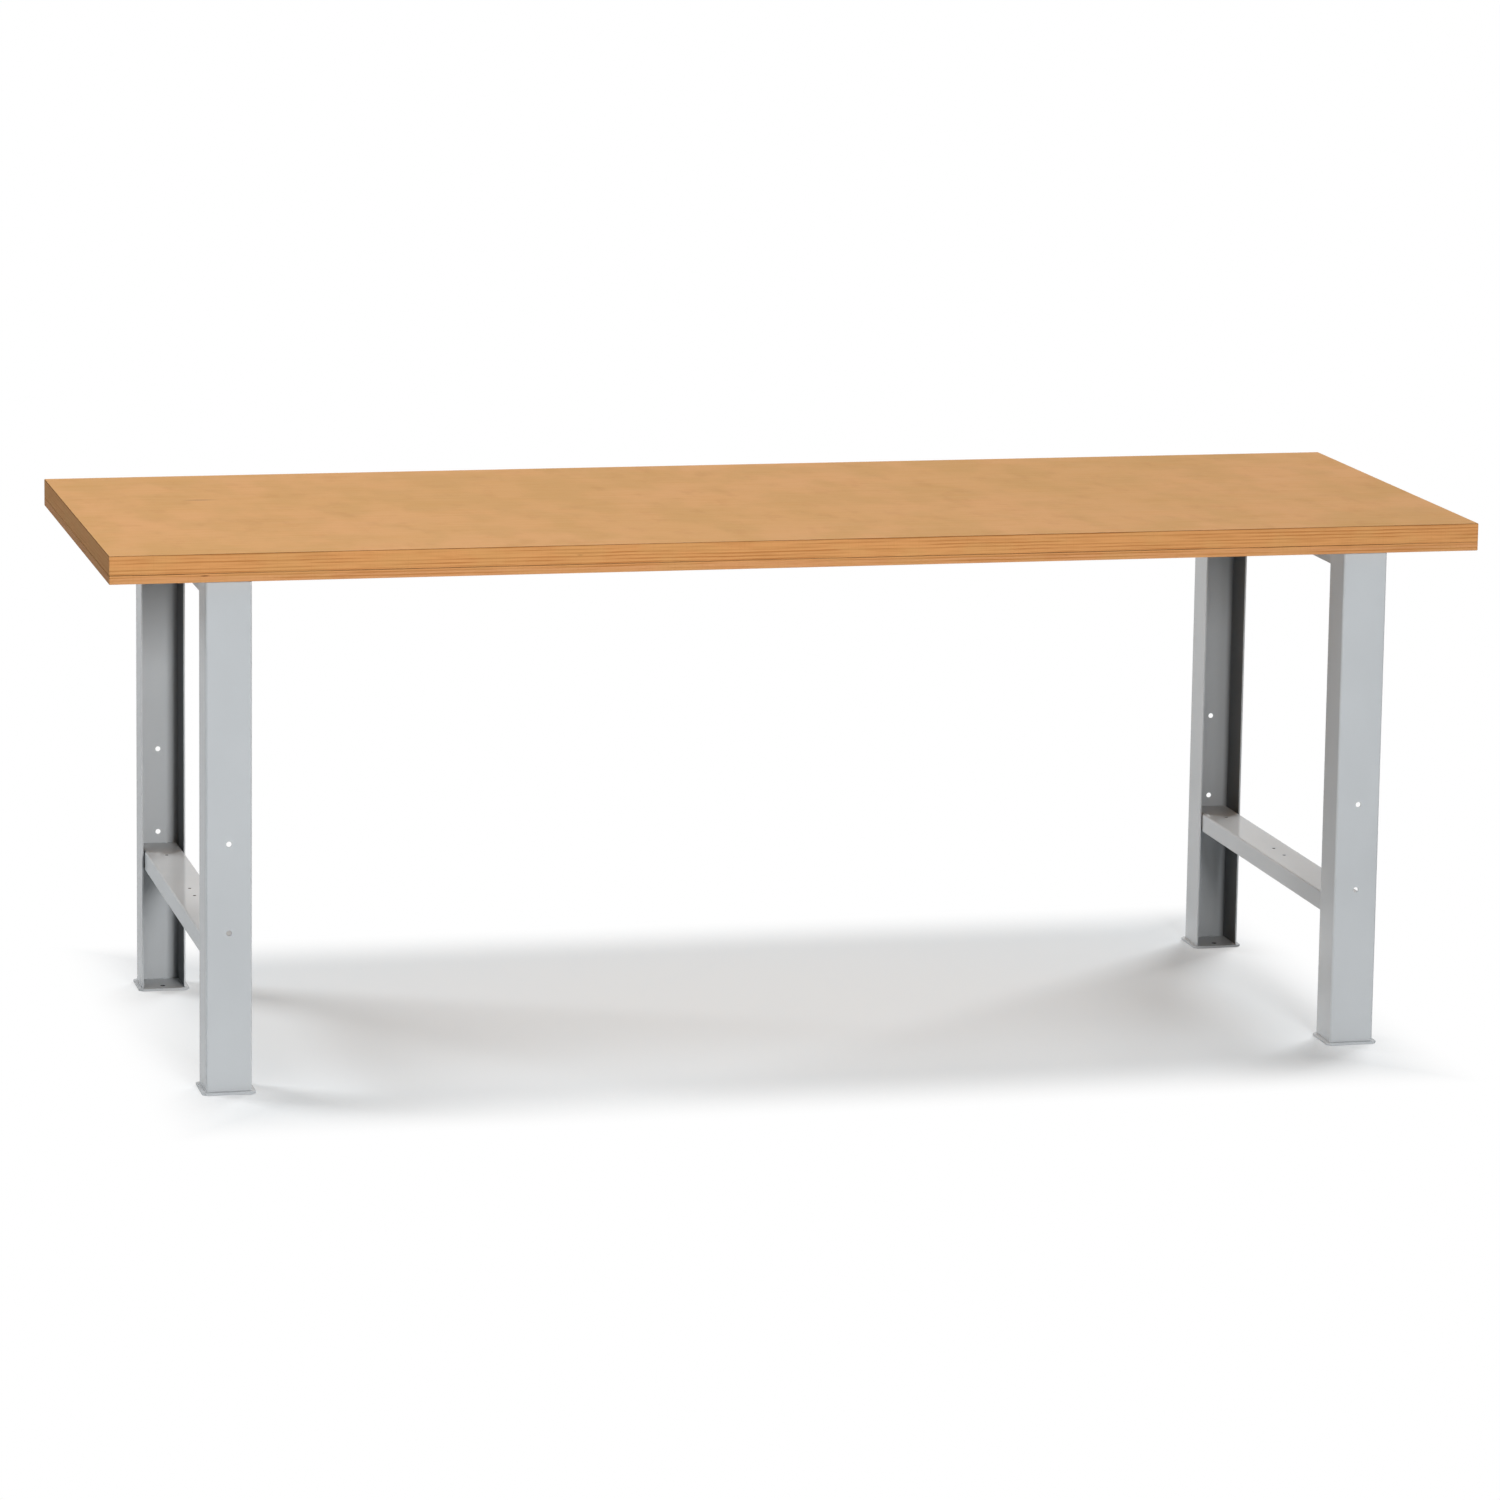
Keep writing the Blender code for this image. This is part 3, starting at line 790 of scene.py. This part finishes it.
class MakeFootPlates(bpy.types.Operator):
    """Cut the four foot plates, with clipped corners and an anchor hole"""

    bl_idname = "workbench.make_foot_plates"
    bl_label = "Foot plates"

    def execute(self, context):
        steel = context.scene.workbench_steel
        source = FOOT_PLATES[0]
        low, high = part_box(source)
        middle = (low + high) / 2
        deselect_all()
        bpy.ops.mesh.primitive_plane_add(size=1.0, location=(middle.x, middle.y, low.z))
        bpy.context.active_object.scale = (high.x - low.x, high.y - low.y, 1.0)
        piece = name_new(source + DRESSED)
        bpy.ops.object.mode_set(mode="EDIT")
        bpy.ops.mesh.select_all(action="SELECT")
        bpy.ops.mesh.bevel(offset=steel.foot_chamfer, segments=1, affect="VERTICES")
        bpy.ops.mesh.select_all(action="SELECT")
        rise = (0.0, 0.0, high.z - low.z)
        bpy.ops.mesh.extrude_region_move(TRANSFORM_OT_translate={"value": rise})
        bpy.ops.object.mode_set(mode="OBJECT")
        face_outwards(piece)
        place = (middle.x, high.y - steel.anchor_edge, middle.z)
        drill(piece, place, steel.anchor_hole, high.z - low.z + 2 * OVERRUN)
        ease_edges(piece, steel.edge)
        coat_sheet(piece, steel, [(place, steel.anchor_hole)])
        copy_to_rest(piece, FOOT_PLATES, "powder_coat")
        return {"FINISHED"}


class MakeWelds(bpy.types.Operator):
    """Lay the two small weld beads between each post's web and its foot plate"""

    bl_idname = "workbench.make_welds"
    bl_label = "Foot welds"

    # Ripples of one weld, their distance in radii of a ripple, and the voxels to such a radius
    ripples = 5
    ripple_distance = 0.8
    voxels_per_ripple = 7

    def execute(self, context):
        steel = context.scene.workbench_steel
        post, plate = POSTS[0], FOOT_PLATES[0]
        seam = Vector((box_middle(post).x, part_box(post)[0].y + steel.post_sheet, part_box(plate)[1].z))
        deselect_all()
        drops = []
        for side in (-1, 1):
            for ripple in range(self.ripples):
                from_middle = (ripple - self.ripples // 2) * steel.bead * self.ripple_distance
                along = side * steel.bead_spacing / 2 + from_middle
                bpy.ops.mesh.primitive_uv_sphere_add(segments=16, ring_count=10, radius=steel.bead,
                                                     location=seam + Vector((along, 0.0, 0.0)))
                drops.append(bpy.context.active_object)
        deselect_all()
        for drop in drops:
            drop.select_set(True)
        bpy.context.view_layer.objects.active = drops[0]
        bpy.ops.object.join()
        piece = name_new("left_front_foot_weld")
        apply_modifier(piece, "REMESH", mode="VOXEL", voxel_size=steel.bead / self.voxels_per_ripple)
        apply_modifier(piece, "SMOOTH", factor=0.5, iterations=3)
        make_active(piece)
        bpy.ops.object.shade_smooth()
        coat_sheet(piece, steel)
        twins = [(copy_onto(piece, post, target), target) for target in POSTS[1:]]
        for bead, target in [(piece, post)] + twins:
            bead.name = target.replace("_post", "_foot_weld")
            bead.data.name = bead.name
            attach(bead, BODY)
        return {"FINISHED"}


class MakeScrews(bpy.types.Operator):
    """Turn the hexagon wood screws that hold the worktop"""

    bl_idname = "workbench.make_screws"
    bl_label = "Worktop screws"

    def execute(self, context):
        settings = context.scene.workbench_fasteners
        source = SCREWS[0]
        low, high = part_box(source)
        middle = (low + high) / 2
        deselect_all()
        hexagon = 6
        bpy.ops.mesh.primitive_cylinder_add(vertices=hexagon, radius=(high.x - low.x) / 2,
                                            depth=settings.head,
                                            location=(middle.x, middle.y, low.z + settings.head / 2),
                                            rotation=(0.0, 0.0, math.pi / 6))
        piece = name_new(source + DRESSED)
        bpy.ops.object.mode_set(mode="EDIT")
        select_where(piece, "edges",
                     lambda edge: all(abs(vert.co.z - low.z) < NEAR for vert in edge.verts))
        bpy.ops.mesh.bevel(offset=settings.head_easing, segments=EASING_SEGMENTS, profile=0.5,
                           affect="EDGES")
        bpy.ops.object.mode_set(mode="OBJECT")
        deselect_all()
        shank_bottom = low.z + settings.head / 2
        shank_top = high.z - settings.tip
        shank_middle = (middle.x, middle.y, (shank_top + shank_bottom) / 2)
        bpy.ops.mesh.primitive_cylinder_add(vertices=settings.facets, radius=settings.shank,
                                            depth=shank_top - shank_bottom, location=shank_middle)
        shank = name_new("shank")
        bpy.ops.object.mode_set(mode="EDIT")
        select_where(shank, "faces", lambda face: face.normal.z > ALONG_AXIS)
        bpy.ops.mesh.extrude_region_move(TRANSFORM_OT_translate={"value": (0.0, 0.0, settings.tip)})
        bpy.ops.mesh.merge(type="CENTER")
        bpy.ops.object.mode_set(mode="OBJECT")
        cut_by(piece, shank, "UNION")
        shade(piece)
        piece.data.materials.append(shared_material("zinc_plate", lambda: zinc_plate(settings)))
        copy_to_rest(piece, SCREWS, "zinc")
        return {"FINISHED"}


class MakeWashers(bpy.types.Operator):
    """Press the washers under the upper rails"""

    bl_idname = "workbench.make_washers"
    bl_label = "Worktop washers"

    def execute(self, context):
        settings = context.scene.workbench_fasteners
        source = WASHERS[0]
        low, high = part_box(source)
        deselect_all()
        bpy.ops.mesh.primitive_cylinder_add(vertices=WASHER_FACETS, radius=(high.x - low.x) / 2,
                                            depth=high.z - low.z, location=(low + high) / 2)
        piece = name_new(source + DRESSED)
        drill(piece, (low + high) / 2, settings.hole, high.z - low.z + 2 * OVERRUN)
        ease_edges(piece, settings.washer_easing)
        piece.data.materials.append(shared_material("zinc_plate", lambda: zinc_plate(settings)))
        copy_to_rest(piece, WASHERS, "zinc")
        return {"FINISHED"}


class SetStage(bpy.types.Operator):
    """Set the pale floor, the soft light and the camera"""

    bl_idname = "workbench.set_stage"
    bl_label = "Stage"

    def execute(self, context):
        settings = context.scene.workbench_stage
        context.scene.view_settings.view_transform = "Standard"
        self.lay_floor(settings)
        self.light_world(context.scene, settings)
        for name, (place, target, size) in LIGHTS.items():
            self.hang_light(name, place, target, size, getattr(settings, name))
        self.set_camera(context.scene, settings)
        return {"FINISHED"}

    def seen(self, tree):
        """Return 1 for rays that show the background: camera, glossy and transmission rays."""
        rays = add_node(tree, "LightPath").outputs
        shown = sums(tree, "MAXIMUM", rays["Is Camera Ray"], rays["Is Glossy Ray"])
        return sums(tree, "MAXIMUM", shown, rays["Is Transmission Ray"])

    def lay_floor(self, settings):
        """Lay a wide floor that keeps the shadow and fades to white further out."""
        deselect_all()
        bpy.ops.mesh.primitive_plane_add(size=2 * settings.floor, location=(0.0, 0.0, -FLOOR_DROP))
        floor = name_new("floor")
        material, tree, shader, coords = start_material("studio_floor")
        tree.nodes.remove(shader)
        shown = self.seen(tree)
        mirrored = add_node(tree, "LightPath").outputs["Is Glossy Ray"]
        floor_paint = (*settings.floor_colour, 1.0)
        paint = add_node(tree, "BsdfDiffuse", {"Color": floor_paint}).outputs["BSDF"]
        axes = add_node(tree, "SeparateXYZ", {"Vector": coords}).outputs
        outside = [sums(tree, "SUBTRACT", sums(tree, "ABSOLUTE", axes[axis]), half)
                   for axis, half in (("X", settings.shadow_length), ("Y", settings.shadow_depth))]
        fade = ramp(tree, sums(tree, "MAXIMUM", *outside), 0.0, settings.shadow_fade)
        far = sums(tree, "MULTIPLY", fade, shown)
        white = ramp(tree, mirrored, 0.0, 1.0, 1.0, settings.mirror_floor)
        blank = add_node(tree, "Emission", {"Strength": white}).outputs["Emission"]
        surface = add_node(tree, "MixShader", {0: far, 1: paint, 2: blank}).outputs["Shader"]
        tree.links.new(surface, tree.nodes["Material Output"].inputs["Surface"])
        floor.data.materials.append(material)

    def light_world(self, scene, settings):
        """Light the world evenly and show it white, with a darker upper sky in reflections."""
        world = scene.world or bpy.data.worlds.new("studio")
        scene.world = world
        world.use_nodes = True
        tree = world.node_tree
        tree.nodes.clear()
        plain = (*WHITE, 1.0)
        soft = add_node(tree, "Background", {"Color": plain, "Strength": settings.ambient})
        direction = add_node(tree, "TexCoord").outputs["Generated"]
        up = add_node(tree, "SeparateXYZ", {"Vector": direction}).outputs["Z"]
        mirrored = ramp(tree, up, settings.sky_low, settings.sky_high, 1.0, settings.mirror_sky)
        direct = add_node(tree, "LightPath").outputs["Is Camera Ray"]
        strength = sums(tree, "MAXIMUM", direct, mirrored)
        white = add_node(tree, "Background", {"Color": plain, "Strength": strength})
        both = add_node(tree, "MixShader", {0: self.seen(tree), 1: soft.outputs["Background"],
                                            2: white.outputs["Background"]})
        output = add_node(tree, "OutputWorld")
        tree.links.new(both.outputs["Shader"], output.inputs["Surface"])

    def hang_light(self, name, place, target, size, watts):
        """Hang one soft rectangular light and aim it at its target."""
        deselect_all()
        bpy.ops.object.light_add(type="AREA", location=place)
        light = bpy.context.active_object
        light.name = name
        light.data.shape = "RECTANGLE"
        light.data.size = size[0]
        light.data.size_y = size[1]
        light.data.energy = watts
        light.rotation_euler = (Vector(target) - Vector(place)).to_track_quat("-Z", "Y").to_euler()
        light.visible_camera = False
        light.visible_glossy = False

    def set_camera(self, scene, settings):
        """Place the camera at the photograph's angle."""
        deselect_all()
        bpy.ops.object.camera_add(location=settings.camera_place, rotation=settings.camera_turn)
        camera = bpy.context.active_object
        camera.name = "photo_camera"
        camera.data.lens = settings.lens
        camera.data.shift_y = settings.lens_shift
        camera.data.clip_end = VIEW_LIMIT
        scene.camera = camera


# Sidebar

class WorkbenchPanel(bpy.types.Panel):
    """Lists the pieces of the workbench and their settings"""

    bl_idname = "VIEW3D_PT_workbench"
    bl_label = "Workbench"
    bl_space_type = "VIEW_3D"
    bl_region_type = "UI"
    bl_category = "Workbench"

    def draw(self, context):
        for operator in OPERATORS:
            self.layout.operator(operator.bl_idname)
        for settings in SETTINGS:
            group = getattr(context.scene, settings)
            box = self.layout.box()
            for name in group.bl_rna.properties.keys():
                if name not in ("rna_type", "name"):
                    box.prop(group, name)


OPERATORS = (MakeBoards, MakePosts, MakeRails, MakeFootPlates, MakeWelds, MakeScrews, MakeWashers,
             SetStage)
SETTINGS = {
    "workbench_worktop": WorktopSettings,
    "workbench_steel": SteelSettings,
    "workbench_fasteners": FastenerSettings,
    "workbench_stage": StageSettings,
}


def register():
    """Register the settings, the operators and the panel."""
    for name, group in SETTINGS.items():
        bpy.utils.register_class(group)
        setattr(bpy.types.Scene, name, PointerProperty(type=group))
    for kind in (*OPERATORS, WorkbenchPanel):
        bpy.utils.register_class(kind)


def unregister():
    """Remove what register added."""
    for kind in (WorkbenchPanel, *reversed(OPERATORS)):
        bpy.utils.unregister_class(kind)
    for name, group in SETTINGS.items():
        delattr(bpy.types.Scene, name)
        bpy.utils.unregister_class(group)


def main():
    """Dress the bench."""
    register()
    bpy.ops.workbench.make_boards()
    bpy.ops.workbench.make_posts()
    bpy.ops.workbench.make_rails()
    bpy.ops.workbench.make_foot_plates()
    bpy.ops.workbench.make_welds()
    bpy.ops.workbench.make_screws()
    bpy.ops.workbench.make_washers()
    bpy.ops.workbench.set_stage()


if __name__ == "__main__":
    main()
